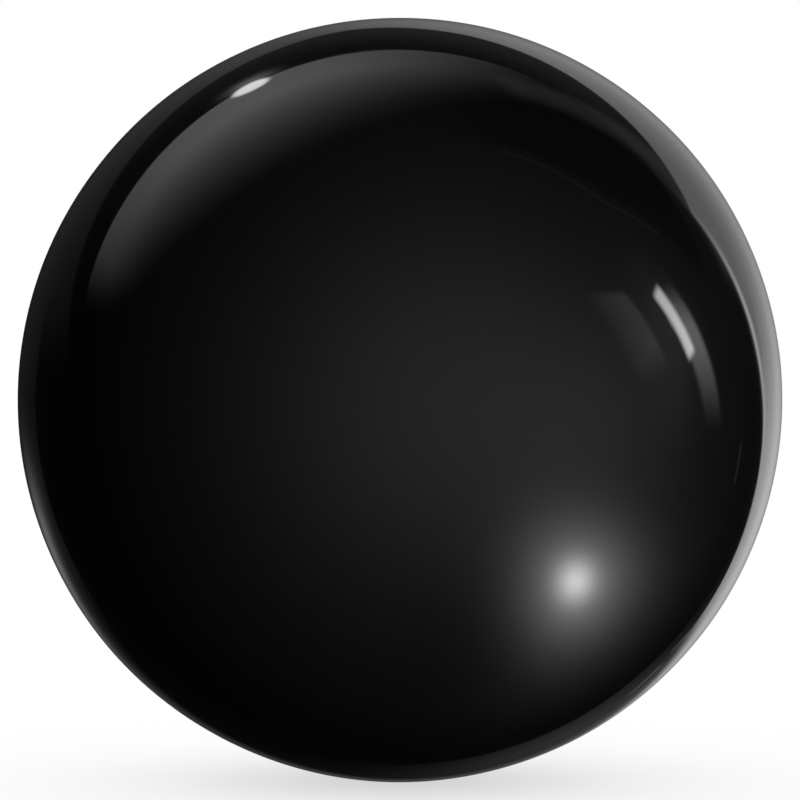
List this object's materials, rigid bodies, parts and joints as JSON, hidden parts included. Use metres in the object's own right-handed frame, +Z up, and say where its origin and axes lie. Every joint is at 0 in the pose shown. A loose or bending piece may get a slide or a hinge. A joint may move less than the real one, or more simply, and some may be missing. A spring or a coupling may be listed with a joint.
{
  "type": "case opening friction ball",
  "caption": "Inflatable rubber ball with a glossy tacky skin and a flush needle valve, pressed and twisted by hand to unscrew watch case backs.",
  "frame": {"origin": "centre of the ball", "axes": "+Y along the valve axis, out of the valve; +Z up; the plain front of the ball faces -Y"},
  "size_m": [0.065, 0.0645, 0.065],
  "materials": {
    "cover_rubber": "high gloss, tacky",
    "carcass_rubber": "matt, buffed",
    "seam_tape": "matt natural gum",
    "bladder_rubber": "satin butyl",
    "patch_rubber": "matt, cloth imprint",
    "valve_rubber": "satin",
    "core_rubber": "satin, oiled",
    "plug_rubber": "semi-gloss"
  },
  "bodies": {
    "ball": {"grip_cover": "cover_rubber", "carcass_front_half": "carcass_rubber", "carcass_valve_half": "carcass_rubber", "seam_tape": "seam_tape", "bladder": "bladder_rubber", "valve_patch": "patch_rubber", "valve_housing": "valve_rubber", "valve_core": "core_rubber"},
    "plug": {"valve_plug": "plug_rubber"}
  },
  "joints": [
    {"name": "valve_plug_pull", "type": "slide", "parent": "ball", "child": "plug", "axis": [0, 1, 0], "range_m": [0, 0.012]}
  ]
}
